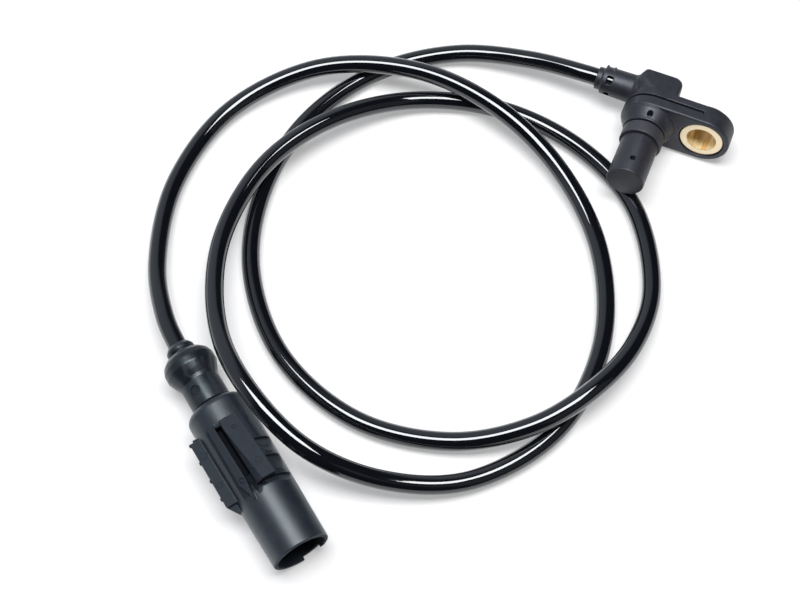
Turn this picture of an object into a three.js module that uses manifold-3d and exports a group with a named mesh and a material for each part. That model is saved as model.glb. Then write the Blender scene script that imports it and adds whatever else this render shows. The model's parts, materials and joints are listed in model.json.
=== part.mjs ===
// Wheel speed sensor: a flange-mounted sensing head, its two-core cable and a round two-pin plug.
// Millimetres, +Z up. The head lies on the edge of its flange with the tip pointing to -Y.
import * as THREE from "three";
import { ConvexGeometry } from "three/addons/geometries/ConvexGeometry.js";
import * as BufferGeometryUtils from "three/addons/utils/BufferGeometryUtils.js";
import Module from "manifold-3d";

const wasm = await Module();
wasm.setup();

// Clearance between pieces that fit into or over one another.
const fit = 0.3;
const round = 40;

const cable = { radius: 2.6, sides: 10, steps: 80 };
const core = { radius: 0.8, conductor: 0.3, spacing: 2.3, bend: 3 };

// The bush starts at the bush plane, y = 0; the flange stands forward of it.
const bush = { outer: 6.2, bore: 4.25, chamfer: 0.3, length: 7 };
const flange = { front: 0.4, thickness: 6.4, tipRadius: 8.2, boltRadius: 8, bolt: 15.6, bevel: 0.4 };
const flangeRear = flange.thickness - flange.front;
const edgeSlot = { width: 0.7, depth: 1.2, fromRear: 2.5, end: 14 };
const block = { left: -7, right: 5.7, rear: 12.85, halfHeight: 7.5, corner: 1.2, sideCorner: 2.8, cut: 1.6 };
const boss = { y: 8.9, z: 1, radius: 4, rootRadius: 4.2, length: 11.5, collar: 1.8, collarRadius: 3.25 };
const bossMouth = block.left - boss.length;
const bossWindow = { fromMouth: 4.1, length: 2.1, width: 2.9, turns: [28, 112] };
const bossRib = { fromMouth: [2, 4.2], width: 0.5, height: 0.35 };
const shoulder = { radius: 7.8, neck: 6.3, length: 4.3 };
const collar = { start: 4.6, length: 4, radius: 6, chamfer: 0.25 };
const capsule = { radius: 5.34, wall: 1.04, end: 22.6, floor: 1, corner: 0.4 };
const pinHole = { shoulderRadius: 0.8, shoulderAt: 2.5, tipRadius: 0.85, tipAt: 17.9, depth: 1.5 };
const chip = { width: 4.4, height: 4.2, thickness: 1.3 };
const magnet = { side: 4.2, length: 3 };
const lead = { width: 0.5, thickness: 0.25, spacing: 2, rise: 0.9, clear: 0.6, slope: 1, inSplice: 1.2 };
const capacitor = { length: 1.6, width: 3, height: 1 };
const splice = { radius: 0.95, bore: 0.62, length: 3.6 };

const shroud = { mouthRadius: 7.8, rearRadius: 8.4, bore: 6.7, depth: 21.8, rim: 0.3 };
const shell = { length: 46, endRadius: 5.5, dome: 2.6, bore: 4.3 };
const cover = { rear: -38.2, front: -19.2, top: 8.7, left: -1.7, right: 3.3 };
const rib = { rear: -38.5, wide: -23, tip: -15.5, width: 2.6, top: 8.9, turn: 28, barb: 3, waist: 0.35 };
const slot = { rear: -37.2, front: -19.5, rearWidth: 1.5, frontWidth: 1, bottom: 6.9 };
const rail = { rear: -38.6, outerEnd: -19.7, innerEnd: -16.4, inner: 8.2, outer: 10.6, top: 3.2, lip: 0.8 };
const railFoot = { bottom: -1.2, reach: 7.5 };
const nub = { places: [-38.6, -32.4, -26.4, -21.9], length: 0.8, height: 0.35 };
const teeth = { places: [-30.7, -25.4, cover.front - 0.3], ramp: 4, depth: 0.6, turn: 60 };
const mouthNotch = { depth: 1, left: 0.5, top: -4.4 };
const ejector = { depth: 0.2, edge: 0.3, inset: 2.4, rail: { x: -34.2, radius: 1.2 } };
const coverMarks = [{ x: -24, radius: 0.9 }, { x: -35, radius: 0.6 }];
const insert = { radius: shroud.bore - fit, length: 4.3 };
const pin = { radius: 1, spacing: 5, front: -6.5, barrel: 1.3, barrelLength: 8.2, hole: 1.3 };
const boot = { length: 19.3, mouth: 3.2, lip: 3.9, lipEnd: 1.9, waist: 3.55, spigot: 5.7 };
const bootNeck = { radius: 5.42, start: 11.6 };
// The boot's bulb: radius and distance from the end where the cable enters.
const bulb = [[5.3, 3.3], [6.6, 4.6], [7.15, 7.1], [6.4, 9.6], [5.7, 11.3]];
const bootDimple = { radius: 1.4, fromRear: 15.2, turn: 27, depth: 0.35 };

// The head's lean: its tip rests on the strand of cable that passes under it.
const headLean = THREE.MathUtils.degToRad(6.2);
const headPlace = { x: -2.6, y: 4.85 };
const plugPlace = { x: -43.91, y: -147.28, turn: THREE.MathUtils.degToRad(-36.65) };

// Solids: three.js geometries joined and cut as closed bodies.
function solidOf(geometry) {
  const bare = new THREE.BufferGeometry();
  bare.setAttribute("position", geometry.getAttribute("position"));
  bare.setIndex(geometry.getIndex());
  const welded = BufferGeometryUtils.mergeVertices(bare, 1e-4);
  const points = welded.getAttribute("position").array;
  const triangles = [];
  let volume = 0;
  for (let i = 0; i < welded.index.count; i += 3) {
    const [a, b, c] = welded.index.array.slice(i, i + 3);
    if (a === b || b === c || c === a) continue;
    triangles.push(a, b, c);
    const corners = [a, b, c].map((k) => new THREE.Vector3().fromArray(points, 3 * k));
    volume += corners[0].dot(corners[1].cross(corners[2]));
  }
  if (volume < 0) triangles.reverse();
  const mesh = new wasm.Mesh({
    numProp: 3,
    vertProperties: new Float32Array(points),
    triVerts: new Uint32Array(triangles),
  });
  mesh.merge();
  return new wasm.Manifold(mesh);
}

function join(...solids) {
  return solids.reduce((whole, next) => whole.add(next));
}

function cut(body, ...tools) {
  return tools.reduce((whole, next) => whole.subtract(next), body);
}

function geometryOf(solid) {
  const mesh = solid.getMesh();
  const geometry = new THREE.BufferGeometry();
  geometry.setAttribute("position", new THREE.BufferAttribute(new Float32Array(mesh.vertProperties), 3));
  geometry.setIndex(new THREE.BufferAttribute(new Uint32Array(mesh.triVerts), 1));
  return BufferGeometryUtils.toCreasedNormals(geometry, 0.6);
}

function box(x0, x1, y0, y1, z0, z1) {
  const geometry = new THREE.BoxGeometry(x1 - x0, y1 - y0, z1 - z0);
  geometry.translate((x0 + x1) / 2, (y0 + y1) / 2, (z0 + z1) / 2);
  return solidOf(geometry);
}

// A turned body from [radius, station] pairs, its axis along Y at first.
function turned(profile, segments = round) {
  const points = profile.map(([radius, station]) => new THREE.Vector2(radius, station));
  return new THREE.LatheGeometry(points, segments);
}

// Turned about the tip's axis: stations count forwards from the bush plane.
function alongTip(profile, segments) {
  return solidOf(turned(profile.map(([radius, station]) => [radius, -station]), segments));
}

// Turned about an axis along X at the given y and z.
function alongX(profile, y = 0, z = 0, segments = round) {
  return solidOf(turned(profile, segments).rotateZ(-Math.PI / 2).translate(0, y, z));
}

function rodAlongX(radius, x0, x1, y = 0, z = 0, segments = round) {
  return alongX([[0, x0], [radius, x0], [radius, x1], [0, x1]], y, z, segments);
}

function rodAlongTip(radius, start, end, segments = round) {
  return alongTip([[0, start], [radius, start], [radius, end], [0, end]], segments);
}

// A prism of a (y, z) outline between two x stations.
function prismAlongX(outline, x0, x1) {
  const shape = new THREE.Shape(outline.map(([y, z]) => new THREE.Vector2(y, z)));
  const geometry = new THREE.ExtrudeGeometry(shape, { depth: x1 - x0, bevelEnabled: false });
  geometry.rotateX(Math.PI / 2).rotateZ(Math.PI / 2).translate(x0, 0, 0);
  return solidOf(geometry);
}

// A prism of an (x, z) shape, from y0 towards +Y, with bevelled rims where asked.
function prismAlongY(shape, y0, y1, bevel = 0) {
  const geometry = new THREE.ExtrudeGeometry(shape, {
    depth: y1 - y0 - 2 * bevel,
    bevelEnabled: bevel > 0,
    bevelThickness: bevel,
    bevelSize: bevel,
    bevelOffset: -bevel,
    bevelSegments: 2,
    curveSegments: 24,
  });
  geometry.rotateX(Math.PI / 2).translate(0, y1 - bevel, 0);
  return solidOf(geometry);
}

// A prism of an (x, y) shape, from z0 upwards.
function prismAlongZ(shape, z0, z1) {
  const geometry = new THREE.ExtrudeGeometry(shape, { depth: z1 - z0, bevelEnabled: false });
  return solidOf(geometry.translate(0, 0, z0));
}

// Corner points of a round section.
function circle(radius, sides) {
  const turn = (2 * Math.PI) / sides;
  return Array.from({ length: sides }, (_, k) => (
    new THREE.Vector2(radius * Math.cos(k * turn), radius * Math.sin(k * turn))
  ));
}

// A wire of round section swept along a curve.
function wire(curve, radius, steps, sides = 10) {
  const section = new THREE.Shape(circle(radius, sides));
  return solidOf(new THREE.ExtrudeGeometry(section, { steps, bevelEnabled: false, extrudePath: curve }));
}

// Two circles joined by their outer tangents, grown or shrunk by an offset.
function flangeOutline(offset = 0) {
  const tangent = Math.acos((flange.tipRadius - flange.boltRadius) / flange.bolt);
  const shape = new THREE.Shape();
  shape.absarc(0, 0, flange.tipRadius + offset, tangent, 2 * Math.PI - tangent);
  shape.absarc(flange.bolt, 0, flange.boltRadius + offset, -tangent, tangent);
  return shape;
}

// Head housing: flange, rear block, cable boss and shoulder, moulded as one piece.
function flangePlate() {
  return prismAlongY(flangeOutline(), -flange.front, flangeRear, flange.bevel);
}

function rearBlock() {
  const points = [];
  const ring = (x, y, radius, z) => {
    for (let k = 0; k < 16; k += 1) {
      const angle = (k * Math.PI) / 8;
      points.push(new THREE.Vector3(x + radius * Math.cos(angle), y + radius * Math.sin(angle), z));
    }
  };
  const { left, right, rear, halfHeight, corner, sideCorner, cut: chamfer } = block;
  const front = flangeRear - 1;
  const posts = [
    [right - sideCorner, rear - sideCorner, sideCorner],
    [left + chamfer + corner, rear - corner, corner],
    [left + corner, rear - 2 * chamfer - corner, corner],
  ];
  for (const side of [-1, 1]) {
    for (const [x, y, radius] of posts) {
      ring(x, y, radius, side * (halfHeight - corner / 2));
      ring(x, y, radius - corner / 2, side * halfHeight);
    }
    points.push(new THREE.Vector3(left, front, side * (halfHeight + corner / 3)));
    points.push(new THREE.Vector3(right, front, side * (halfHeight + corner / 3)));
  }
  return solidOf(new ConvexGeometry(points));
}

function cableBoss() {
  const step = bossMouth + boss.collar;
  const body = alongX([
    [0, bossMouth],
    [boss.collarRadius - 0.2, bossMouth],
    [boss.collarRadius, bossMouth + 0.3],
    [boss.collarRadius, step],
    [boss.radius - 0.25, step],
    [boss.radius, step + 0.3],
    [boss.rootRadius, block.left - 1],
    [boss.rootRadius + 0.7, block.left + 0.3],
    [0, block.left + 0.6],
  ], boss.y, boss.z);
  const reach = boss.radius + bossRib.height;
  const ribs = bossRib.fromMouth.map((place) => (
    rodAlongX(reach, bossMouth + place, bossMouth + place + bossRib.width, boss.y, boss.z)
  ));
  const rearTop = box(bossMouth, block.left, boss.y + 1, boss.y + 2 * reach, boss.z - 1, boss.z + reach);
  return join(body, join(...ribs).intersect(rearTop));
}

function mountingShoulder() {
  const { radius, neck, length } = shoulder;
  const middle = (radius + neck) / 2;
  return alongTip([
    [0, -1], [radius, -1], [radius, 0.3], [radius - 0.25, 0.9], [middle + 0.15, length * 0.45],
    [neck + 0.25, length * 0.75], [neck, length - 0.15], [neck - 0.15, length], [0, length],
  ]);
}

function wireRoom() {
  const side = core.spacing / 2 + core.radius + fit;
  const half = core.radius + fit;
  return box(jacketEnd.head - 0.2, side, 3, boss.y + side, boss.z - half, boss.z + half);
}

function slotAroundEdge() {
  const band = flangeOutline(2);
  band.holes.push(flangeOutline(-edgeSlot.depth));
  const rear = flangeRear - edgeSlot.fromRear;
  const whole = prismAlongY(band, rear - edgeSlot.width, rear);
  return whole.intersect(box(-20, edgeSlot.end, -1, 10, -20, 20));
}

function supportPinHoles() {
  const rise = new THREE.CylinderGeometry(pinHole.shoulderRadius, pinHole.shoulderRadius, 6, 16);
  rise.rotateX(Math.PI / 2).translate(0, -pinHole.shoulderAt, shoulder.neck + 3 - pinHole.depth / 2);
  return solidOf(rise);
}

function sensorHousing() {
  const jacketBore = cable.radius + fit;
  const windows = bossWindow.turns.map((turn) => {
    const geometry = new THREE.BoxGeometry(bossWindow.length, bossWindow.width, 2 * boss.radius);
    geometry.translate(0, 0, boss.radius);
    geometry.rotateX(THREE.MathUtils.degToRad(turn));
    geometry.translate(bossMouth + bossWindow.fromMouth, boss.y, boss.z);
    return solidOf(geometry);
  });
  return cut(
    join(flangePlate(), rearBlock(), cableBoss(), mountingShoulder()),
    rodAlongTip(bush.outer + fit, -flangeRear - 1, flange.front + 1).translate([flange.bolt, 0, 0]),
    rodAlongTip(carrier.radius + fit, carrier.start - fit, shoulder.length + 1),
    rodAlongX(jacketBore, bossMouth - 1, jacketEnd.head + fit, boss.y, boss.z),
    wireRoom(),
    slotAroundEdge(),
    supportPinHoles(),
    ...windows,
  );
}

function flangeBush() {
  const { outer, bore, chamfer, length } = bush;
  return alongTip([
    [bore + chamfer, -length], [outer, -length], [outer, 0], [bore + chamfer, 0],
    [bore, -chamfer], [bore, chamfer - length], [bore + chamfer, -length],
  ]).translate([flange.bolt, 0, 0]);
}

// Sensing end: the element carrier with its collar, inside the moulded tip capsule.
const capsuleBore = capsule.radius - capsule.wall;
const carrier = { radius: capsuleBore - fit, start: -5, end: capsule.end - capsule.floor - fit };
const capsuleStart = collar.start + collar.length + fit;
const pocket = { side: magnet.side / 2 + fit, floor: carrier.end - chip.thickness - magnet.length - 3 * fit };
const channel = { half: core.spacing / 2 + splice.radius + fit, floor: boss.z - core.radius - 0.5 };
const chipBack = carrier.end - chip.thickness;
const leadTop = chip.height / 2 + fit + lead.rise;
const jacketEnd = { head: -9.3, plug: -46.2 };
const spliceStart = capsuleStart + fit;
const spliceEnd = spliceStart + splice.length;

function tipCapsule() {
  const { radius, end, floor, corner } = capsule;
  const shellSolid = alongTip([
    [capsuleBore, capsuleStart], [radius - 0.15, capsuleStart], [radius, capsuleStart + 0.2],
    [radius, end - corner], [radius - 0.3 * corner, end - 0.3 * corner], [radius - corner, end],
    [0, end], [0, end - floor], [capsuleBore, end - floor], [capsuleBore, capsuleStart],
  ]);
  const hole = new THREE.CylinderGeometry(pinHole.tipRadius, pinHole.tipRadius, 3, 16);
  hole.rotateX(Math.PI / 2).translate(0, -pinHole.tipAt, radius + 0.2);
  return cut(shellSolid, solidOf(hole));
}

function elementCarrier() {
  const { radius, start, end } = carrier;
  const front = collar.start + collar.length;
  const body = alongTip([
    [0, start], [radius, start], [radius, collar.start], [collar.radius - collar.chamfer, collar.start],
    [collar.radius, collar.start + collar.chamfer], [collar.radius, front - collar.chamfer],
    [collar.radius - collar.chamfer, front], [radius, front], [radius, end], [0, end],
  ]);
  const { half, floor } = channel;
  const tunnel = boss.z + splice.radius + fit;
  const slotHalf = lead.spacing / 2 + lead.width / 2 + fit;
  return cut(
    body,
    box(-half, half, -collar.start + fit, -start + 1, floor, radius + 1),
    box(-half, half, -pocket.floor + fit, -front - fit, floor, radius + 1),
    box(-half, half, -front - 1, -collar.start + 1, floor, tunnel),
    box(-pocket.side, pocket.side, -end - 1, -pocket.floor, -pocket.side, pocket.side),
    box(-slotHalf, slotHalf, -end - 1, -pocket.floor + 1, 0, radius + 1),
  );
}

function hallChip() {
  const { width, height, thickness } = chip;
  return box(-width / 2, width / 2, -chipBack - thickness, -chipBack, -height / 2, height / 2);
}

function biasMagnet() {
  const front = chipBack - fit;
  const half = magnet.side / 2;
  return box(-half, half, -front, -front + magnet.length, -half, half);
}

// Each lead rises from the chip, runs back over the magnet and drops to the splice.
function chipLead(side) {
  const { width, thickness } = lead;
  const chipMiddle = chipBack + chip.thickness / 2;
  const drop = pocket.floor - lead.clear;
  const dropEnd = drop - lead.slope;
  const low = boss.z;
  const end = spliceEnd - lead.inSplice;
  const foot = chip.height / 2 + fit;
  const outline = [
    [chipMiddle, foot], [chipMiddle, leadTop], [drop, leadTop], [dropEnd, low + thickness / 2],
    [end, low + thickness / 2], [end, low - thickness / 2], [dropEnd - thickness / 2, low - thickness / 2],
    [drop + thickness / 2, leadTop - thickness], [chipMiddle - thickness, leadTop - thickness],
    [chipMiddle - thickness, foot],
  ].map(([station, z]) => [-station, z]);
  const x = (side * lead.spacing) / 2;
  return prismAlongX(outline, x - width / 2, x + width / 2);
}

function noiseCapacitor() {
  const { length, width, height } = capacitor;
  const rear = spliceEnd + fit;
  const bottom = boss.z + lead.thickness / 2 + fit;
  return box(-width / 2, width / 2, -rear - length, -rear, bottom, bottom + height);
}

function wireSplice(side) {
  const { radius, bore } = splice;
  const x = (side * core.spacing) / 2;
  return alongTip([
    [bore, spliceStart], [radius, spliceStart], [radius, spliceEnd], [bore, spliceEnd], [bore, spliceStart],
  ], 20).translate([x, 0, boss.z]);
}

// The two cores leave the jacket side by side and bend, one inside the other, into the tip.
function headWire(side) {
  const x = (side * core.spacing) / 2;
  const bendX = -core.spacing / 2 - core.bend;
  const bendY = boss.y - core.spacing / 2 - core.bend;
  const radius = x - bendX;
  const path = new THREE.CurvePath();
  const tipEnd = -spliceStart + 0.3 + fit;
  path.add(new THREE.LineCurve3(
    new THREE.Vector3(x, tipEnd, boss.z),
    new THREE.Vector3(x, bendY, boss.z),
  ));
  const arc = Array.from({ length: 7 }, (_, k) => {
    const angle = (k * Math.PI) / 12;
    return new THREE.Vector3(bendX + radius * Math.cos(angle), bendY + radius * Math.sin(angle), boss.z);
  });
  path.add(new THREE.CatmullRomCurve3(arc));
  path.add(new THREE.LineCurve3(
    arc[6],
    new THREE.Vector3(jacketEnd.head + fit, bendY + radius, boss.z),
  ));
  const bare = rodAlongTip(core.conductor, -tipEnd - 1, spliceStart + lead.inSplice, 12);
  const conductor = bare.translate([x, 0, boss.z]);
  return join(wire(path, core.radius, 36), conductor);
}

// Plug shell: a round socket with a raised cover, an arrow rib and a slide rail.
const domeFront = -shell.length + shell.dome;

// The shell's radius along its straight, drafted length.
function shellRadius(x) {
  return THREE.MathUtils.mapLinear(x, domeFront, 0, shroud.rearRadius, shroud.mouthRadius);
}

function shellBody() {
  const { mouthRadius, rearRadius, rim } = shroud;
  const { length, endRadius, dome } = shell;
  const drop = rearRadius - endRadius;
  const domePoints = Array.from({ length: 6 }, (_, k) => {
    const angle = (k * Math.PI) / 10;
    return [endRadius + drop * Math.sin(angle), -length + rim + (dome - rim) * (1 - Math.cos(angle))];
  });
  return alongX([
    [0, -length], [endRadius - rim, -length], ...domePoints,
    [mouthRadius, -rim], [mouthRadius - rim, 0], [0, 0],
  ], 0, 0, 56);
}

// Saw-toothed steps beside the cover: each drops at its place and ramps up towards the mouth.
function sideTeeth() {
  const { places, ramp, depth, turn } = teeth;
  const outside = shroud.rearRadius + 1;
  return places.map((x) => {
    const wedge = new THREE.Shape([
      new THREE.Vector2(x, shellRadius(x) - depth),
      new THREE.Vector2(x + ramp, shellRadius(x + ramp)),
      new THREE.Vector2(x + ramp, outside),
      new THREE.Vector2(x, outside),
    ]);
    return prismAlongZ(wedge, -4, 4).rotate([turn, 0, 0]);
  });
}

function raisedCover() {
  const { rear, front, top, left, right } = cover;
  return prismAlongX([[left, 5], [left, top], [right, top], [right, 5]], rear, front);
}

// The narrow groove between the cover and the rib; it narrows towards the mouth.
function coverSlot() {
  const edge = cover.left;
  const outline = new THREE.Shape([
    new THREE.Vector2(slot.rear, edge),
    new THREE.Vector2(slot.rear, edge - slot.rearWidth),
    new THREE.Vector2(slot.front, edge - slot.frontWidth),
    new THREE.Vector2(slot.front, edge),
  ]);
  return prismAlongZ(outline, slot.bottom, slot.bottom + 4);
}

function arrowRib() {
  const half = rib.width / 2;
  const outline = new THREE.Shape([
    new THREE.Vector2(rib.rear, -half),
    new THREE.Vector2(rib.wide, -half),
    new THREE.Vector2(rib.wide + rib.barb, -half * rib.waist),
    new THREE.Vector2(rib.tip, half * rib.waist),
    new THREE.Vector2(rib.wide + rib.barb, half * (1 - rib.waist)),
    new THREE.Vector2(rib.wide, half),
    new THREE.Vector2(rib.rear, half),
  ]);
  return prismAlongZ(outline, 5, rib.top).rotate([rib.turn, 0, 0]);
}

function slideRail() {
  const { rear, outerEnd, innerEnd, inner, outer, top, lip } = rail;
  const { bottom, reach } = railFoot;
  const bar = prismAlongX([
    [-5, bottom], [-5, top], [-outer, top], [-outer, top - lip], [-reach, bottom],
  ], rear, innerEnd);
  const frontCut = new THREE.Shape([
    new THREE.Vector2(outerEnd, -outer),
    new THREE.Vector2(outerEnd, -outer - 1),
    new THREE.Vector2(innerEnd + 1, -outer - 1),
    new THREE.Vector2(innerEnd + 1, -inner),
    new THREE.Vector2(innerEnd, -inner),
  ]);
  const nubs = nub.places.map((x) => (
    box(x, x + nub.length, -outer - nub.height, -outer + 1, top - 0.8 * lip, top - 0.1)
  ));
  return join(cut(bar, prismAlongZ(frontCut, bottom - 1, top + 1)), ...nubs);
}

function ejectorMarks() {
  const mark = ({ x, radius }, y, z) => {
    const geometry = new THREE.CylinderGeometry(radius, radius, 2, 16).rotateX(Math.PI / 2);
    return solidOf(geometry.translate(x, y, z + 1 - ejector.depth));
  };
  const coverY = cover.left + ejector.inset;
  return [
    mark(ejector.rail, ejector.rail.radius + ejector.edge - rail.outer, rail.top),
    ...coverMarks.map((place) => mark(place, coverY, cover.top)),
  ];
}

function plugShell() {
  const { bore, depth } = shroud;
  const reach = shroud.mouthRadius + 1;
  const notch = box(-mouthNotch.depth, 1, mouthNotch.left, reach, -reach, mouthNotch.top);
  const toothedBody = cut(shellBody(), ...sideTeeth());
  return cut(
    join(toothedBody, raisedCover(), arrowRib(), slideRail()),
    rodAlongX(bore, -depth, 1),
    rodAlongX(shell.bore, -shell.length - 1, -depth + 0.5),
    coverSlot(),
    notch,
    ...ejectorMarks(),
  );
}

// Inside the plug: the contact carrier, two terminals and the ends of the cores.
const insertRear = -shroud.depth + fit;

function contactCarrier() {
  const holes = [-1, 1].map((side) => rodAlongX(
    pin.hole, insertRear - 1, insertRear + insert.length + 1, (side * pin.spacing) / 2, 0, 20,
  ));
  return cut(rodAlongX(insert.radius, insertRear, insertRear + insert.length), ...holes);
}

function contactPin(side) {
  const y = (side * pin.spacing) / 2;
  const barrelFront = insertRear - fit;
  const barrelRear = barrelFront - pin.barrelLength;
  const body = alongX([
    [0, barrelRear], [pin.barrel, barrelRear], [pin.barrel, barrelFront], [pin.radius, barrelFront],
    [pin.radius, pin.front - 0.8], [pin.radius * 0.6, pin.front - 0.15], [0, pin.front],
  ], y, 0, 20);
  const socket = rodAlongX(core.conductor + fit, barrelRear - 1, barrelRear + 4, y, 0, 16);
  return cut(body, socket);
}

function plugWire(side) {
  const near = (side * core.spacing) / 2;
  const far = (side * pin.spacing) / 2;
  const start = jacketEnd.plug + fit;
  const end = insertRear - pin.barrelLength - 2 * fit;
  const path = new THREE.CatmullRomCurve3([
    new THREE.Vector3(start, near, 0),
    new THREE.Vector3(start + 3, near, 0),
    new THREE.Vector3(end - 4, far, 0),
    new THREE.Vector3(end, far, 0),
  ]);
  const conductor = rodAlongX(core.conductor, end - 1, end + 3, far, 0, 12);
  return join(wire(path, core.radius, 20), conductor);
}

function cableBoot() {
  const { length, mouth, lip, lipEnd, waist, spigot } = boot;
  const neck = bootNeck.radius;
  const front = -shell.length - fit;
  const rear = front - length;
  const bore = cable.radius + fit;
  const inside = shell.bore - fit;
  const bulge = new THREE.SplineCurve(bulb.map(([radius, place]) => new THREE.Vector2(radius, rear + place)));
  const body = alongX([
    [bore, rear], [mouth, rear], [lip, rear + 1], [lip, rear + lipEnd],
    [waist, rear + lipEnd + 0.5], [waist, rear + lipEnd + 0.9],
    ...bulge.getPoints(10).map((point) => point.toArray()),
    [neck, rear + bootNeck.start], [neck, front], [inside, front],
    [inside, front + spigot], [bore, front + spigot], [bore, rear],
  ]);
  const dimple = new THREE.CylinderGeometry(bootDimple.radius, bootDimple.radius, 2, 18);
  dimple.rotateX(Math.PI / 2).translate(rear + bootDimple.fromRear, 0, neck + 1 - bootDimple.depth);
  return cut(body, solidOf(dimple.rotateX(THREE.MathUtils.degToRad(bootDimple.turn))));
}

// The cable's route, chosen by hand along the photographed loops; it crosses over itself.
const route = [
  [-12, 13.8, 8.8], [-24, 13.8, 8.8], [-42, 13.8, 6.4], [-63, 9.6, 3.5], [-82, -4.4, 2.7],
  [-94.4, -27, 2.7], [-97, -52.4, 2.7], [-90, -77, 2.7], [-71.6, -98, 2.7], [-45.6, -107.6, 2.7],
  [-20, -104, 3.6], [-1.5, -93, 7], [9.5, -78.4, 8.7], [15.2, -61.6, 6.3], [14.4, -42, 3.2],
  [1.8, -19.4, 2.8], [-18, -7, 2.7], [-43.3, -3.1, 2.8], [-68.5, -10.6, 4.2], [-87.2, -28.2, 8.3],
  [-98, -48.6, 8.9], [-99.5, -73.8, 8.8], [-90, -97.5, 12.8], [-76, -112.6, 16.9], [-54, -123, 13.9],
  [-33, -121.8, 7.2], [-12, -112.2, 3.4], [4.2, -90.6, 2.8], [7.2, -63.2, 2.8], [-3.2, -35.4, 3],
  [-23, -16, 5.4], [-46.5, -6, 8.8], [-71, -4, 9.5], [-97.6, -12, 6.6], [-116.4, -32.6, 3.2],
  [-121, -60, 2.8], [-114, -86, 4.6], [-104.2, -100.9, 7.6], [-96.5, -108.2, 8.4], [-81, -119.7, 8.4],
];

function cableJacket() {
  const points = route.map((point) => new THREE.Vector3(...point));
  const curve = new THREE.CatmullRomCurve3(points, false, "centripetal");
  return wire(curve, cable.radius, cable.steps, cable.sides);
}

const finishes = {
  mouldedPlastic: { color: 0x2b2d31, roughness: 0.55, metalness: 0 },
  softBoot: { color: 0x26282b, roughness: 0.7, metalness: 0 },
  jacket: { color: 0x0b0c0f, roughness: 0.25, metalness: 0 },
  insertPlastic: { color: 0x3a3c40, roughness: 0.6, metalness: 0 },
  brass: { color: 0xd9b070, roughness: 0.3, metalness: 1 },
  tinnedCopper: { color: 0xc9c4b8, roughness: 0.35, metalness: 1 },
  magnetSteel: { color: 0x55565a, roughness: 0.4, metalness: 1 },
  epoxy: { color: 0x141416, roughness: 0.5, metalness: 0 },
  ceramic: { color: 0x8a6f4c, roughness: 0.6, metalness: 0 },
  blueCore: { color: 0x2a4a9c, roughness: 0.5, metalness: 0 },
  whiteCore: { color: 0xd8d8d2, roughness: 0.5, metalness: 0 },
};

function piece(name, solid, finish) {
  const mesh = new THREE.Mesh(geometryOf(solid), new THREE.MeshStandardMaterial(finishes[finish]));
  mesh.name = name;
  return mesh;
}

const head = new THREE.Group();
head.add(
  piece("sensor_housing", sensorHousing(), "mouldedPlastic"),
  piece("flange_bush", flangeBush(), "brass"),
  piece("tip_capsule", tipCapsule(), "mouldedPlastic"),
  piece("element_carrier", elementCarrier(), "insertPlastic"),
  piece("hall_chip", hallChip(), "epoxy"),
  piece("bias_magnet", biasMagnet(), "magnetSteel"),
  piece("noise_capacitor", noiseCapacitor(), "ceramic"),
  piece("chip_lead_left", chipLead(-1), "tinnedCopper"),
  piece("chip_lead_right", chipLead(1), "tinnedCopper"),
  piece("wire_splice_left", wireSplice(-1), "tinnedCopper"),
  piece("wire_splice_right", wireSplice(1), "tinnedCopper"),
  piece("head_wire_left", headWire(-1), "blueCore"),
  piece("head_wire_right", headWire(1), "whiteCore"),
);
head.rotation.x = -headLean;
// It stands on whichever rear edge reaches lower: the flange's or the block's.
const restingEdges = [
  [flangeRear - flange.bevel, flange.tipRadius],
  [block.rear - block.corner / 2, block.halfHeight],
];
const headHeight = Math.max(...restingEdges.map(([rear, drop]) => (
  rear * Math.sin(headLean) + drop * Math.cos(headLean)
)));
head.position.set(headPlace.x, headPlace.y, headHeight);

const plug = new THREE.Group();
plug.add(
  piece("plug_shell", plugShell(), "mouldedPlastic"),
  piece("cable_boot", cableBoot(), "softBoot"),
  piece("contact_carrier", contactCarrier(), "insertPlastic"),
  piece("contact_pin_left", contactPin(-1), "tinnedCopper"),
  piece("contact_pin_right", contactPin(1), "tinnedCopper"),
  piece("plug_wire_left", plugWire(-1), "blueCore"),
  piece("plug_wire_right", plugWire(1), "whiteCore"),
);
plug.rotation.z = plugPlace.turn;
plug.position.set(plugPlace.x, plugPlace.y, shroud.rearRadius);

const sensor = new THREE.Group();
sensor.add(head, piece("cable_jacket", cableJacket(), "jacket"), plug);

export default sensor;
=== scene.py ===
import json
import math

import bmesh
import bpy
from mathutils import Matrix, Vector

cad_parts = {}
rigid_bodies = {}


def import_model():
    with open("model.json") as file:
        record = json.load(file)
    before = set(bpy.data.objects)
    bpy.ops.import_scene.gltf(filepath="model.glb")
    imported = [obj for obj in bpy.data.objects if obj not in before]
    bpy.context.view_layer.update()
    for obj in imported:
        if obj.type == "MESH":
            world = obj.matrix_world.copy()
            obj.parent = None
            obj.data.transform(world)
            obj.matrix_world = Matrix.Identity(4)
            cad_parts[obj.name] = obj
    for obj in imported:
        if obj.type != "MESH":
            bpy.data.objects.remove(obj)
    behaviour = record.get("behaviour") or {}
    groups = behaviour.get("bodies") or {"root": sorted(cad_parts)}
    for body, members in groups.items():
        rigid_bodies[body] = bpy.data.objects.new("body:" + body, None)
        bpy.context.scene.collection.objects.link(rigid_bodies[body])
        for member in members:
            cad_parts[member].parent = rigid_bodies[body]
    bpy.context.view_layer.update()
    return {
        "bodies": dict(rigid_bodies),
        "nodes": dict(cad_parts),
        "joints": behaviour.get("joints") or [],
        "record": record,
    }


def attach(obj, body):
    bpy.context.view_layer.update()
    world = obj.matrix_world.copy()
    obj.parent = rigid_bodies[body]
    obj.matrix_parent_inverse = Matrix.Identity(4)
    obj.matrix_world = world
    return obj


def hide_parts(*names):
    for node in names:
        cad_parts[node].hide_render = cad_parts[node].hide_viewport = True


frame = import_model()
mm = 0.001
print("frame loaded")

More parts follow.
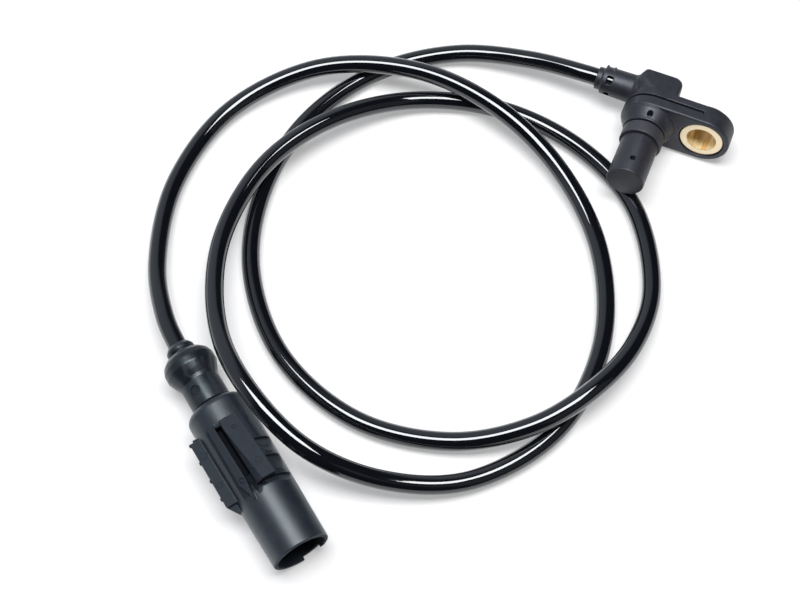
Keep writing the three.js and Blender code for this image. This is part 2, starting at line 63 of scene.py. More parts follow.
# Where the head and the plug stand, in millimetres of the row frame
place = {
    "headX": -2.6,
    "headY": 4.85,
    "headZ": 8.779,
    "headLean": 6.2,
    "plugX": -43.91,
    "plugY": -147.28,
    "plugZ": 8.4,
    "plugTurn": -36.65,
}


def toRow(x, y, z, turn, axis):
    return Matrix.Scale(mm, 4) @ Matrix.Translation((x, y, z)) @ Matrix.Rotation(math.radians(turn), 4, axis)


headFrame = toRow(place["headX"], place["headY"], place["headZ"], -place["headLean"], "X")
plugFrame = toRow(place["plugX"], place["plugY"], place["plugZ"], place["plugTurn"], "Z")
tipTurn = Matrix.Rotation(-math.pi / 2, 4, "Z")  # turns +X to the way the tip points


# Camera: it looks down at the floor point under the photograph's middle
view = {
    "elevation": 64.5,
    "distance": 0.4276,
    "turn": 21.95,
    "aimX": -0.07061,
    "aimY": -0.05178,
    "lens": 1555 / 800 * 36,
}
studio = (
    Matrix.Translation((place["headX"] * mm, place["headY"] * mm, 0))
    @ Matrix.Rotation(math.radians(view["turn"]), 4, "Z")
    @ Matrix.Translation((view["aimX"], view["aimY"], 0))
)


def makeCamera():
    camera = bpy.data.objects.new("camera", bpy.data.cameras.new("camera"))
    bpy.context.scene.collection.objects.link(camera)
    camera.data.sensor_width = 36
    camera.data.lens = view["lens"]
    camera.data.clip_start = 0.01
    rise = math.radians(view["elevation"])
    away = view["distance"]
    seat = Matrix.Translation((0, -away * math.cos(rise), away * math.sin(rise)))
    camera.matrix_world = studio @ seat @ Matrix.Rotation(math.pi / 2 - rise, 4, "X")
    bpy.context.scene.camera = camera


makeCamera()
print("camera set")


# Shader maths: an expression on wired values adds its Math nodes
class Wire:
    def __init__(self, finish, socket):
        self.finish = finish
        self.socket = socket

    def maths(self, operation, first, second):
        return self.finish.node("ShaderNodeMath", {"operation": operation}, {0: first, 1: second})

    def __add__(self, other):
        return self.maths("ADD", self, other)

    def __sub__(self, other):
        return self.maths("SUBTRACT", self, other)

    def __rsub__(self, other):
        return self.maths("SUBTRACT", other, self)

    def __mul__(self, other):
        return self.maths("MULTIPLY", self, other)

    __radd__ = __add__
    __rmul__ = __mul__


class Finish:
    def __init__(self, name, owner=None):
        self.owner = owner or bpy.data.materials.new(name)
        self.owner.use_nodes = True
        self.tree = self.owner.node_tree
        self.tree.nodes.clear()

    def node(self, kind, settings=None, inputs=None, output=0):
        node = self.tree.nodes.new(kind)
        for key, value in (settings or {}).items():
            if key == "stops":
                self.setStops(node.color_ramp, value)
            else:
                setattr(node, key, value)
        for key, value in (inputs or {}).items():
            if isinstance(value, Wire):
                self.tree.links.new(value.socket, node.inputs[key])
            else:
                node.inputs[key].default_value = value
        return Wire(self, node.outputs[output]) if node.outputs else node

    def setStops(self, ramp, stops):
        while len(ramp.elements) < len(stops):
            ramp.elements.new(0.5)
        for element, (position, value) in zip(ramp.elements, stops):
            element.position = position
            element.color = (value, value, value, 1)

    def mixed(self, factor, first, second):  # two colours
        return self.node("ShaderNodeMix", {"data_type": "RGBA"}, {0: factor, 6: first, 7: second}, output=2)

    def close(self, shader, kind="ShaderNodeOutputMaterial"):
        self.node(kind, None, {0: shader})
        return self.owner


# Lights, world and floor
light = {
    "panelWidth": 0.62,
    "panelDepth": 0.33,
    "panelPlace": (0.0, 0.01, 0.8),
    "panelPower": 8.5,
    "fillSize": 0.6,
    "fillPlace": (0.5, -0.35, 0.45),
    "fillPower": 0.14,
    "brightSide": (-0.72, 0.68, 0.1),
    "skyStops": [(0.3, 0.0), (0.54, 0.8), (1.0, 1.0)],
    "skyDark": (0.022, 0.024, 0.03, 1),
    "skyBright": (0.5, 0.54, 0.6, 1),
    "skyGloss": 0.01,
    "floorColour": (0.552, 0.552, 0.556, 1),
    "floorGlow": 0.36,
    "floorReach": 1.6,
}


def makeLamp(name, width, depth, spot, power):
    lamp = bpy.data.lights.new(name, "AREA")
    lamp.shape = "RECTANGLE"
    lamp.size = width
    lamp.size_y = depth
    lamp.energy = power
    holder = bpy.data.objects.new(name, lamp)
    bpy.context.scene.collection.objects.link(holder)
    aim = Vector(spot).to_track_quat("Z", "Y").to_matrix().to_4x4()
    holder.matrix_world = studio @ Matrix.Translation(spot) @ aim


def raysOf(finish, gloss):  # 1 where the camera sees it, and a share of that in reflections
    kinds = ("Camera", "Glossy", "Transmission")
    camera, glossy, clear = (finish.node("ShaderNodeLightPath", output=f"Is {kind} Ray") for kind in kinds)
    return camera + glossy * gloss + clear * gloss


def makeWorld():
    world = bpy.data.worlds.new("studio")
    bpy.context.scene.world = world
    finish = Finish("studio", world)
    bright = studio.to_3x3() @ Vector(light["brightSide"]).normalized()
    heading = finish.node("ShaderNodeTexCoord", output="Generated")
    ahead = finish.node(
        "ShaderNodeVectorMath", {"operation": "DOT_PRODUCT"}, {0: heading, 1: bright}, output="Value",
    )
    rise = finish.node("ShaderNodeValToRGB", {"stops": light["skyStops"]}, {0: ahead})
    colour = finish.mixed(rise, light["skyDark"], light["skyBright"])
    sky = finish.node("ShaderNodeBackground", None, {"Color": colour, "Strength": 1})
    white = finish.node("ShaderNodeBackground", None, {"Color": (1, 1, 1, 1), "Strength": 1})
    both = finish.node("ShaderNodeMixShader", None, {0: raysOf(finish, light["skyGloss"]), 1: sky, 2: white})
    finish.close(both, "ShaderNodeOutputWorld")


def makeFloor():
    mesh = bpy.data.meshes.new("floor")
    reach = light["floorReach"]
    corners = [(-reach, -reach, 0), (reach, -reach, 0), (reach, reach, 0), (-reach, reach, 0)]
    mesh.from_pydata(corners, [], [(0, 1, 2, 3)])
    floor = bpy.data.objects.new("floor", mesh)
    bpy.context.scene.collection.objects.link(floor)
    finish = Finish("paleFloor")
    surface = finish.node("ShaderNodeBsdfPrincipled", None, {
        "Base Color": light["floorColour"], "Roughness": 0.9, "Specular IOR Level": 0.1,
    })
    glow = finish.node("ShaderNodeEmission", None, {"Strength": raysOf(finish, 1) * light["floorGlow"]})
    both = finish.node("ShaderNodeAddShader", None, {0: surface, 1: glow})
    mesh.materials.append(finish.close(both))


makeLamp("panelLamp", light["panelWidth"], light["panelDepth"], light["panelPlace"], light["panelPower"])
makeLamp("fillLamp", light["fillSize"], light["fillSize"], light["fillPlace"], light["fillPower"])
makeWorld()
makeFloor()
bpy.context.scene.view_settings.view_transform = "Standard"
print("studio lit")


# Finishes
def speckle(finish, coordinates, scale, detail=2, roughness=0.5):
    return finish.node("ShaderNodeTexNoise", None, {
        "Vector": coordinates, "Scale": scale, "Detail": detail, "Roughness": roughness,
    })


def stretched(finish, coordinates, scale):
    return finish.node("ShaderNodeMapping", None, {"Vector": coordinates, "Scale": scale})


def marked(finish, name):  # a number that the piece carries on its points
    return finish.node("ShaderNodeAttribute", {"attribute_name": name}, output="Fac")


def spread(finish, value, span):  # 0 up to the span's start, 1 from its end on
    return finish.node("ShaderNodeValToRGB", {"stops": [(span[0], 0), (span[1], 1)]}, {0: value})


def raised(finish, height, strength, distance=0.00002):
    return finish.node("ShaderNodeBump", None, {"Strength": strength, "Distance": distance, "Height": height})


def plasticFinish(name, look):  # "skin" turns matt to satin; a second number paints shade into the bottom of a slot, as a near-black colour without sheen
    finish = Finish(name)
    skin = marked(finish, "skin")
    recess = marked(finish, "recess")
    here = finish.node("ShaderNodeTexCoord", output="Object")
    cloud = speckle(finish, here, look["cloudScale"], 3)
    scuffed = spread(finish, speckle(finish, here, look["scuffScale"], 6, 0.7), look["scuffSpan"])
    rubbed = spread(finish, finish.node("ShaderNodeNewGeometry", output="Pointiness"), look["edgeSpan"])
    wear = rubbed * look["edgeWear"] + scuffed * look["scuff"]
    shade = finish.mixed(wear, finish.mixed(cloud, look["dark"], look["light"]), look["worn"])
    surface = finish.node("ShaderNodeBsdfPrincipled", None, {
        # painted shade at slot bottoms: a near-black colour, made metallic so that it shows no sheen
        "Base Color": finish.mixed(recess, shade, look["paintedShadeColour"]),
        "Metallic": recess * look["paintedShadeMetal"],
        "Roughness": look["roughness"] + (cloud - 0.5) * look["roughnessSpread"] + (1 - skin) * look["matt"],
        "Specular IOR Level": look["specular"],
        "Specular Tint": look["tint"],
        "Coat Weight": skin * look["coat"],
        "Coat Roughness": look["coatRoughness"],
        "Coat IOR": look["coatIor"],
        "Coat Tint": look["tint"],
        "Normal": raised(finish, speckle(finish, here, look["grainScale"], 2), look["grain"]),
    })
    return finish.close(surface)


mouldedLook = {
    "dark": (0.01, 0.0102, 0.0145, 1),
    "light": (0.021, 0.0212, 0.0285, 1),
    "worn": (0.075, 0.076, 0.088, 1),
    # colour of the painted shade at the bottom of slots, and how metallic it is so that it shows no sheen
    "paintedShadeColour": (0.006, 0.007, 0.01, 1),
    "paintedShadeMetal": 0.95,
    "tint": (0.86, 0.91, 1, 1),
    "specular": 0.62,
    "cloudScale": 420,
    "scuffScale": 900,
    "grainScale": 9000,
    "grain": 0.35,
    "edgeWear": 0.3,
    "edgeSpan": (0.505, 0.56),
    "scuff": 0.2,
    "scuffSpan": (0.56, 0.74),
    "roughness": 0.47,
    "roughnessSpread": 0.2,
    "matt": 0,
    "coat": 0,
    "coatRoughness": 0.42,
    "coatIor": 1.65,
}
plugLook = {
    **mouldedLook,
    "dark": (0.006, 0.0075, 0.0125, 1),
    "light": (0.012, 0.0148, 0.0235, 1),
    "worn": (0.05, 0.056, 0.068, 1),
    "tint": (0.78, 0.92, 1, 1),
    "specular": 0.38,
    "roughness": 0.4,
    "matt": 0.3,
    "coat": 0.55,
}
bootLook = {
    **plugLook,
    "dark": (0.0045, 0.0056, 0.009, 1),
    "light": (0.009, 0.0112, 0.017, 1),
    "specular": 0.55,
    "roughness": 0.33,
    "roughnessSpread": 0.3,
    "grain": 0.2,
    "matt": 0,
}
mouldedPlastic = plasticFinish("mouldedPlastic", mouldedLook)
plugPlastic = plasticFinish("plugPlastic", plugLook)
bootRubber = plasticFinish("bootRubber", bootLook)
carrierPlastic = plasticFinish("carrierPlastic", {
    **mouldedLook, "dark": (0.024, 0.024, 0.029, 1), "light": (0.038, 0.038, 0.046, 1), "roughness": 0.5,
})
chipEpoxy = plasticFinish("chipEpoxy", {**mouldedLook, "dark": (0.014, 0.014, 0.016, 1)})
ceramic = plasticFinish("capacitorCeramic", {
    **mouldedLook, "dark": (0.28, 0.19, 0.11, 1), "light": (0.4, 0.29, 0.18, 1), "worn": (0.5, 0.4, 0.3, 1),
})
blueCore = plasticFinish("blueCore", {
    **mouldedLook, "dark": (0.02, 0.06, 0.3, 1), "light": (0.035, 0.09, 0.4, 1), "worn": (0.1, 0.18, 0.5, 1),
})
whiteCore = plasticFinish("whiteCore", {
    **mouldedLook, "dark": (0.62, 0.62, 0.58, 1), "light": (0.74, 0.74, 0.7, 1), "worn": (0.8, 0.8, 0.77, 1),
})

sheathLook = {
    "dark": (0.0012, 0.0014, 0.0022, 1),
    "light": (0.0036, 0.0044, 0.0072, 1),
    "tint": (0.7, 0.88, 1, 1),
    "specular": 0.12,
    "roughness": 0.06,
    "roughnessSpread": 0.06,
    "coatRoughness": 0.04,
    "coatIor": 1.7,
    "coatTint": (0.92, 0.96, 1, 1),
    "smearScale": (7, 260, 1),
    "waveScale": (5, 45, 1),
    "wave": 0.5,
    "waveDepth": 0.0001,
}


def sheathFinish(look):  # gloss with a slight waviness and smears along the cable
    finish = Finish("cableSheath")
    along = finish.node("ShaderNodeTexCoord", output="UV")
    wave = speckle(finish, stretched(finish, along, look["waveScale"]), 1, 2)
    smear = speckle(finish, stretched(finish, along, look["smearScale"]), 1, 4)
    surface = finish.node("ShaderNodeBsdfPrincipled", None, {
        "Base Color": finish.mixed(smear, look["dark"], look["light"]),
        "Roughness": look["roughness"] + smear * look["roughnessSpread"],
        "Specular IOR Level": look["specular"],
        "Specular Tint": look["tint"],
        "Coat Weight": 1,
        "Coat Roughness": look["coatRoughness"],
        "Coat IOR": look["coatIor"],
        "Coat Tint": look["coatTint"],
        "Normal": raised(finish, wave, look["wave"], look["waveDepth"]),
    })
    return finish.close(surface)


cableSheath = sheathFinish(sheathLook)

brassLook = {
    "faceDark": (0.8, 0.66, 0.44, 1),
    "faceLight": (0.88, 0.76, 0.56, 1),
    # bore colours: an amber that is partly the brass's own and partly painted shade, and lighter painted
    # reflection streaks
    "boreShadedAmber": (0.88, 0.53, 0.18, 1),
    "boreReflectionStreak": (1, 0.87, 0.52, 1),
    "boreDull": 0.8,
    "boreSmooth": 0.08,
    "spotScale": 700,
    "fineScale": 5200,
    "streakScale": (1500, 90, 1500),
    "paintedStreakSpan": (0.4, 0.62),
    "roughness": 0.28,
    "roughnessSpread": 0.12,
    "specular": 0.15,
    "grain": 0.25,
}


def brassFinish(look):  # pale turned faces, and a bore whose amber is partly the brass's own colour and partly painted shade, with painted reflection streaks along it
    finish = Finish("paleBrass")
    here = finish.node("ShaderNodeTexCoord", output="Object")
    bore = marked(finish, "bore")
    fine = speckle(finish, here, look["fineScale"], 2)
    lines = speckle(finish, stretched(finish, here, look["streakScale"]), 1, 3)
    paintedStreak = spread(finish, lines, look["paintedStreakSpan"])
    # inside the bore: amber with painted shade, crossed by painted reflection streaks
    inside = finish.mixed(paintedStreak, look["boreShadedAmber"], look["boreReflectionStreak"])
    face = finish.mixed(speckle(finish, here, look["spotScale"], 4), look["faceDark"], look["faceLight"])
    surface = finish.node("ShaderNodeBsdfPrincipled", None, {
        "Base Color": finish.mixed(bore, face, inside),
        "Metallic": 1 - bore * look["boreDull"],
        "Specular IOR Level": look["specular"],
        "Roughness": look["roughness"] + fine * look["roughnessSpread"] - bore * look["boreSmooth"],
        "Normal": raised(finish, fine, look["grain"]),
    })
    return finish.close(surface)


brass = brassFinish(brassLook)

tinnedLook = {
    "dark": (0.6, 0.58, 0.54, 1),
    "light": (0.74, 0.73, 0.7, 1),
    "spotScale": 700,
    "streakScale": (300, 5000, 5000),
    "roughness": 0.3,
    "roughnessSpread": 0.12,
    "grain": 0.25,
}
magnetLook = {
    **tinnedLook,
    "dark": (0.24, 0.24, 0.25, 1),
    "light": (0.34, 0.34, 0.35, 1),
    "streakScale": (900, 900, 4000),
    "roughness": 0.35,
}


def metalFinish(name, look):  # fine lines one way
    finish = Finish(name)
    here = finish.node("ShaderNodeTexCoord", output="Object")
    lines = speckle(finish, stretched(finish, here, look["streakScale"]), 1, 3)
    surface = finish.node("ShaderNodeBsdfPrincipled", None, {
        "Base Color": finish.mixed(speckle(finish, here, look["spotScale"], 4), look["dark"], look["light"]),
        "Metallic": 1,
        "Roughness": look["roughness"] + lines * look["roughnessSpread"],
        "Normal": raised(finish, lines, look["grain"]),
    })
    return finish.close(surface)


tinned = metalFinish("tinnedMetal", tinnedLook)
magnetAlloy = metalFinish("magnetAlloy", magnetLook)
print("finishes made")


# Mesh making: shapes are drawn in millimetres and put in place at the end
def newPiece(name, mesh):
    piece = bpy.data.objects.new(name, mesh)
    bpy.context.scene.collection.objects.link(piece)
    return piece


def solid(name, points, faces, turn=None):
    mesh = bpy.data.meshes.new(name)
    mesh.from_pydata(points, [], faces)
    work = bmesh.new()
    work.from_mesh(mesh)
    bmesh.ops.remove_doubles(work, verts=work.verts, dist=1e-5)
    if turn:
        bmesh.ops.transform(work, matrix=turn, verts=work.verts)
    bmesh.ops.recalc_face_normals(work, faces=work.faces)
    work.to_mesh(mesh)
    work.free()
    return newPiece(name, mesh)


def rounded(corners, steps=6):  # corners as (x, y) or (x, y, fillet)
    path = []
    for k, corner in enumerate(corners):
        here = Vector(corner[:2])
        if len(corner) < 3:
            path.append(tuple(here))
            continue
        before = (Vector(corners[k - 1][:2]) - here).normalized()
        after = (Vector(corners[(k + 1) % len(corners)][:2]) - here).normalized()
        half = before.angle(after) / 2
        centre = here + (before + after).normalized() * corner[2] / math.sin(half)
        start = here + before * corner[2] / math.tan(half) - centre
        sweep = start.angle_signed(here + after * corner[2] / math.tan(half) - centre)
        for i in range(steps + 1):
            turned = start.copy()
            turned.rotate(Matrix.Rotation(-sweep * i / steps, 2))
            path.append(tuple(centre + turned))
    return path


def turnedSolid(name, outline, sides, turn=None):  # (radius, station) pairs, turned about X
    points = []
    rings = []
    for radius, station in outline:
        if radius < 1e-6:
            rings.append([len(points)] * sides)
            points.append((station, 0, 0))
            continue
        rings.append(range(len(points), len(points) + sides))
        for k in range(sides):
            angle = 2 * math.pi * k / sides
            points.append((station, radius * math.cos(angle), radius * math.sin(angle)))
    if outline[0][0] > 1e-6:
        rings.append(rings[0])
    faces = []
    for near, far in zip(rings, rings[1:]):
        for k in range(sides):
            corners = [near[k], near[(k + 1) % sides], far[(k + 1) % sides], far[k]]
            faces.append(list(dict.fromkeys(corners)))
    return solid(name, points, [face for face in faces if len(face) > 2], turn)


def moved(outline, out):  # each point of a closed outline, moved outwards
    result = []
    for k, here in enumerate(outline):
        here = Vector(here)
        ahead = (Vector(outline[(k + 1) % len(outline)]) - here).normalized()
        behind = (here - Vector(outline[k - 1])).normalized()
        normal = Vector((ahead.y + behind.y, -ahead.x - behind.x)).normalized()
        stretch = max(0.5, normal.dot(Vector((ahead.y, -ahead.x))))
        result.append(tuple(here + normal * out / stretch))
    return result


def loft(name, sections, turn=None):  # through closed sections of as many points each
    count = len(sections[0])
    points = [point for section in sections for point in section]
    faces = [list(range(count)), list(range(len(points) - count, len(points)))]
    for base in range(0, len(points) - count, count):
        for k in range(count):
            after = (k + 1) % count
            faces.append([base + k, base + after, base + count + after, base + count + k])
    return solid(name, points, faces, turn)


def plate(name, outline, low, high, fillet, turn=None, steps=4):  # rims rounded by a fillet
    turns = [k * math.pi / 2 / steps for k in range(steps + 1)]
    levels = [((math.sin(a) - 1) * fillet, low + (1 - math.cos(a)) * fillet) for a in turns]
    levels += [((math.sin(a) - 1) * fillet, high - (1 - math.cos(a)) * fillet) for a in reversed(turns)]
    return loft(name, [[(x, y, z) for x, y in moved(outline, out)] for out, z in levels], turn)


def block(name, x0, x1, y0, y1, z0, z1):
    return plate(name, [(x0, y0), (x1, y0), (x1, y1), (x0, y1)], z0, z1, 0.01, None, 1)


def settle(piece):  # turns the modifiers' result into the piece's own mesh
    graph = bpy.context.evaluated_depsgraph_get()
    mesh = bpy.data.meshes.new_from_object(piece.evaluated_get(graph))
    piece.modifiers.clear()
    old = piece.data
    piece.data = mesh
    bpy.data.meshes.remove(old)


def change(piece, operation, *tools):
    for tool in tools:
        step = piece.modifiers.new(operation, "BOOLEAN")
        step.operation = operation
        step.solver = "MANIFOLD"
        step.object = tool
        settle(piece)
        bpy.data.objects.remove(tool)
    return piece


def join(piece, *tools):
    return change(piece, "UNION", *tools)


def cut(piece, *tools):
    return change(piece, "DIFFERENCE", *tools)


def soften(piece, voxel, rounds, share):  # one skin with small fillets, as from a mould
    skin = piece.modifiers.new("skin", "REMESH")
    skin.mode = "VOXEL"
    skin.voxel_size = voxel
    smooth = piece.modifiers.new("smooth", "SMOOTH")
    smooth.iterations = rounds
    smooth.factor = 0.5
    thin = piece.modifiers.new("thin", "DECIMATE")
    thin.ratio = share
    settle(piece)


def mark(piece, name, value):  # a number on each point, for the finish
    layer = piece.data.attributes.new(name, "FLOAT", "POINT")
    for k, point in enumerate(piece.data.vertices):
        layer.data[k].value = min(1, max(0, value(*point.co)))


def finishPiece(piece, frameMatrix, material, nodes, sharp=35):
    piece.data.transform(frameMatrix)
    piece.data.shade_smooth()
    piece.data.set_sharp_from_angle(angle=math.radians(sharp))
    piece.data.materials.clear()
    piece.data.materials.append(material)
    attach(piece, "root")
    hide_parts(*nodes)
    print(f"{piece.name}: {len(piece.data.polygons)} faces")


# What repeats: a Geometry Nodes tree sets copies of a shape along a step
def repeatTree():
    tree = bpy.data.node_groups.new("repeatShape", "GeometryNodeTree")
    for name, way, kind in [
        ("Geometry", "INPUT", "NodeSocketGeometry"),
        ("Count", "INPUT", "NodeSocketInt"),
        ("Step", "INPUT", "NodeSocketVector"),
        ("Material", "INPUT", "NodeSocketMaterial"),
        ("Geometry", "OUTPUT", "NodeSocketGeometry"),
    ]:
        tree.interface.new_socket(name, in_out=way, socket_type=kind)
    nodes = tree.nodes
    start = nodes.new("NodeGroupInput")
    end = nodes.new("NodeGroupOutput")
    row = nodes.new("GeometryNodeMeshLine")
    copies = nodes.new("GeometryNodeInstanceOnPoints")
    real = nodes.new("GeometryNodeRealizeInstances")
    paint = nodes.new("GeometryNodeSetMaterial")
    for source, target in [
        (start.outputs["Count"], row.inputs["Count"]),
        (start.outputs["Step"], row.inputs["Offset"]),
        (row.outputs[0], copies.inputs["Points"]),
        (start.outputs["Geometry"], copies.inputs["Instance"]),
        (copies.outputs[0], real.inputs[0]),
        (real.outputs[0], paint.inputs["Geometry"]),
        (start.outputs["Material"], paint.inputs["Material"]),
        (paint.outputs[0], end.inputs[0]),
    ]:
        tree.links.new(source, target)
    return tree


copyTree = repeatTree()


def repeated(piece, count, step):
    copies = piece.modifiers.new("copies", "NODES")
    copies.node_group = copyTree
    values = {"Count": count, "Step": step, "Material": mouldedPlastic}
    for item in copyTree.interface.items_tree:
        if item.in_out == "INPUT" and item.name in values:
            copies[item.identifier] = values[item.name]
    settle(piece)
    return piece


# The cable: its route in millimetres has the same points as the solid's
cable = {
    "radius": 2.6,
    "sides": 32,
    "perSpan": 12,
    "route": [
        (-12, 13.8, 8.8), (-24, 13.8, 8.8), (-42, 13.8, 6.4), (-63, 9.6, 3.5), (-82, -4.4, 2.7),
        (-94.4, -27, 2.7), (-97, -52.4, 2.7), (-90, -77, 2.7), (-71.6, -98, 2.7), (-45.6, -107.6, 2.7),
        (-20, -104, 3.6), (-1.5, -93, 7), (9.5, -78.4, 8.7), (15.2, -61.6, 6.3), (14.4, -42, 3.2),
        (1.8, -19.4, 2.8), (-18, -7, 2.7), (-43.3, -3.1, 2.8), (-68.5, -10.6, 4.2), (-87.2, -28.2, 8.3),
        (-98, -48.6, 8.9), (-99.5, -73.8, 8.8), (-90, -97.5, 12.8), (-76, -112.6, 16.9), (-54, -123, 13.9),
        (-33, -121.8, 7.2), (-12, -112.2, 3.4), (4.2, -90.6, 2.8), (7.2, -63.2, 2.9), (-3.2, -35.4, 3),
        (-23, -16, 5.4), (-46.5, -6, 8.8), (-71, -4, 9.5), (-97.6, -12, 6.6), (-116.4, -32.6, 3.2),
        (-121, -60, 2.8), (-114, -86, 4.6), (-104.2, -100.9, 7.6), (-96.5, -108.2, 8.4), (-81, -119.7, 8.4),
    ],
}


def throughPoints(points, perSpan):  # a centripetal curve through the points
    line = [Vector(point) for point in points]
    line = [2 * line[0] - line[1], *line, 2 * line[-1] - line[-2]]
    curve = []
    for p0, p1, p2, p3 in zip(line, line[1:], line[2:], line[3:]):
        d0 = math.sqrt((p1 - p0).length)
        d1 = math.sqrt((p2 - p1).length)
        d2 = math.sqrt((p3 - p2).length)
        leave = ((p1 - p0) / d0 - (p2 - p0) / (d0 + d1) + (p2 - p1) / d1) * d1
        arrive = ((p2 - p1) / d1 - (p3 - p1) / (d1 + d2) + (p3 - p2) / d2) * d1
        for k in range(perSpan):
            t = k / perSpan
            curve.append(
                p1 * (2 * t**3 - 3 * t**2 + 1) + leave * (t**3 - 2 * t**2 + t)
                + p2 * (3 * t**2 - 2 * t**3) + arrive * (t**3 - t**2)
            )
    return curve + [line[-2]]


def tube(name, path, radius, sides):
    work = bmesh.new()
    around = work.loops.layers.uv.new("sheath")
    side = Vector((0, 0, 1))
    rings = []
    travelled = [0]
    for k, here in enumerate(path):
        heading = (path[min(k + 1, len(path) - 1)] - path[max(k - 1, 0)]).normalized()
        side = (side - heading * side.dot(heading)).normalized()
        across = heading.cross(side)
        ring = []
        for i in range(sides):
            angle = 2 * math.pi * i / sides
            ring.append(work.verts.new(here + radius * (side * math.cos(angle) + across * math.sin(angle))))
        rings.append(ring)
        if k:
            travelled.append(travelled[-1] + (here - path[k - 1]).length)
    for k in range(len(rings) - 1):
        for i in range(sides):
            after = (i + 1) % sides
            face = work.faces.new([rings[k][i], rings[k][after], rings[k + 1][after], rings[k + 1][i]])
            for loop, (u, v) in zip(face.loops, [(i, k), (i + 1, k), (i + 1, k + 1), (i, k + 1)]):
                loop[around].uv = (u / sides, travelled[v] / 1000)
    work.faces.new(rings[0])
    work.faces.new(rings[-1])
    bmesh.ops.recalc_face_normals(work, faces=work.faces)
    mesh = bpy.data.meshes.new(name)
    work.to_mesh(mesh)
    work.free()
    return newPiece(name, mesh)


def makeCable():
    path = throughPoints(cable["route"], cable["perSpan"])
    piece = tube("cableSheath", path, cable["radius"], cable["sides"])
    finishPiece(piece, Matrix.Scale(mm, 4), cableSheath, ["cable_jacket"], 60)
    return piece, [point * mm for point in path]


sheath, cablePath = makeCable()
print("cable laid")


# The head: flange, rear block, cable boss and shoulder in one moulding
head = {
    "front": -0.4,
    "rear": 6.0,
    "tipRadius": 8.2,
    "boltRadius": 8.0,
    "bolt": 15.6,
    "fillet": 0.55,
    "blockLeft": -6.9,
    "blockRight": 5.7,
    "blockRear": 12.85,
    "blockHalf": 8.1,
    "blockDraft": 0.6,
    "blockFillet": 1.0,
    "blockReach": 12.0,
    "leftCorner": 1.3,
    "rightCorner": 2.8,
    "chamferAcross": 1.4,
    "chamferStart": 9.4,
    "leftFlow": ((4, 6.4), (6, 6.2), (7, 4.8), (8.2, 3.2), (9.6, 2.1), (11.2, 1.5), (14, 1.2)),
    "bossY": 8.9,
    "bossZ": 1.0,
    "bossRadius": 4.0,
    "bossMouth": -18.5,
    "bossRoot": -7.6,
    "bossFlare": 1.2,
    "collarEnd": -16.7,
    "collarRadius": 3.25,
    "ribs": 2,
    "ribRadius": 4.4,
    "ribWidth": 0.55,
    "ribStep": 2.2,
    "ribSetback": 1.9,
    "slotFront": 2.8,
    "slotRear": 3.5,
    "slotDepth": 1.2,
    "slotEnd": 14.0,
    "shoulder": [
        (0, -1), (7.8, -1), (7.8, 0.9, 0.5), (7.1, 2.2, 0.9), (6.45, 3.5, 0.8), (6.3, 4.3, 0.15), (0, 4.3),
    ],
    "boltHole": 6.5,
    "carrierHole": 4.3,
    "jacketHole": 2.9,
    "windowTurns": (36, 114),
    "windowRear": -15.3,
    "windowFront": -13.6,
    "windowHalf": 1.2,
    "windowCorner": 0.3,
    "pinStation": 2.5,
    "pinRadius": 0.8,
}


def flangeOutline(out=0.0, steps=40):
    tangent = math.acos((head["tipRadius"] - head["boltRadius"]) / head["bolt"])
    path = []
    for centre, radius, start, end in (
        (0, head["tipRadius"], tangent, 2 * math.pi - tangent),
        (head["bolt"], head["boltRadius"], -tangent, tangent),
    ):
        for k in range(steps + 1):
            angle = start + (end - start) * k / steps
            path.append((centre + (radius + out) * math.cos(angle), (radius + out) * math.sin(angle)))
    return path


upright = Matrix.Rotation(math.pi / 2, 4, "X")  # an outline in X and Z, extruded along -Y
bossPlace = Matrix.Translation((0, head["bossY"], head["bossZ"]))


def rod(name, radius, x0, x1, sides=64, turn=None):
    return turnedSolid(name, [(0, x0), (radius, x0), (radius, x1), (0, x1)], sides, turn)


def pinHole(station, radius, low, high):  # from above towards the tip's axis
    stand = Matrix.Translation((0, -station, 0)) @ Matrix.Rotation(-math.pi / 2, 4, "Y")
    return rod("pinHole", radius, low, high, 32, stand)


def rearBlock():
    left, right, reach, start = head["blockLeft"], head["blockRight"], head["blockReach"], head["rear"] - 1
    plan = rounded([
        (left, start),
        (right, start),
        (right, head["blockRear"], head["rightCorner"]),
        (left + head["chamferAcross"], head["blockRear"], head["leftCorner"]),
        (left, head["chamferStart"], head["leftCorner"]),
    ])
    half = head["blockHalf"]
    rear = plate("rearBlock", plan, -half, half, head["blockFillet"])
    sections = []  # rounder left corners towards the flange
    for y, corner in head["leftFlow"]:
        frame = rounded([
            (left, -half, corner), (reach, -half, corner), (reach, half, corner), (left, half, corner),
        ], 8)
        sections.append([(x, y, z) for x, z in frame])
    change(rear, "INTERSECT", loft("leftFlow", sections))
    for point in rear.data.vertices:
        behind = max(0, point.co.y - head["rear"]) / (head["blockRear"] - head["rear"])
        point.co.z *= 1 - behind * head["blockDraft"] / half
    return rear


def cableBoss():
    mouth, step, root = head["bossMouth"], head["collarEnd"], head["bossRoot"]
    collar, radius = head["collarRadius"], head["bossRadius"]
    end = root + head["bossFlare"]
    return turnedSolid("boss", rounded([
        (0, mouth), (collar, mouth, 0.3), (collar, step, 0.15), (radius, step, 0.3),
        (radius + 0.2, root, 0.4), (radius + 1, end), (0, end),
    ]), 72, bossPlace)


def bossRibs():
    radius, width = head["ribRadius"], head["ribWidth"]
    rib = turnedSolid("rib", rounded([(0, 0), (radius, 0, 0.1), (radius, width, 0.1), (0, width)]), 64)
    ribs = repeated(rib, head["ribs"], (head["ribStep"], 0, 0))
    mouth = head["bossMouth"]
    ribs.data.transform(bossPlace @ Matrix.Translation((mouth + head["ribSetback"], 0, 0)))
    y, z = head["bossY"], head["bossZ"]
    return change(ribs, "INTERSECT", block("ribSide", mouth, -7, y + 1, y + 9, z - 1, 12))  # the side kept


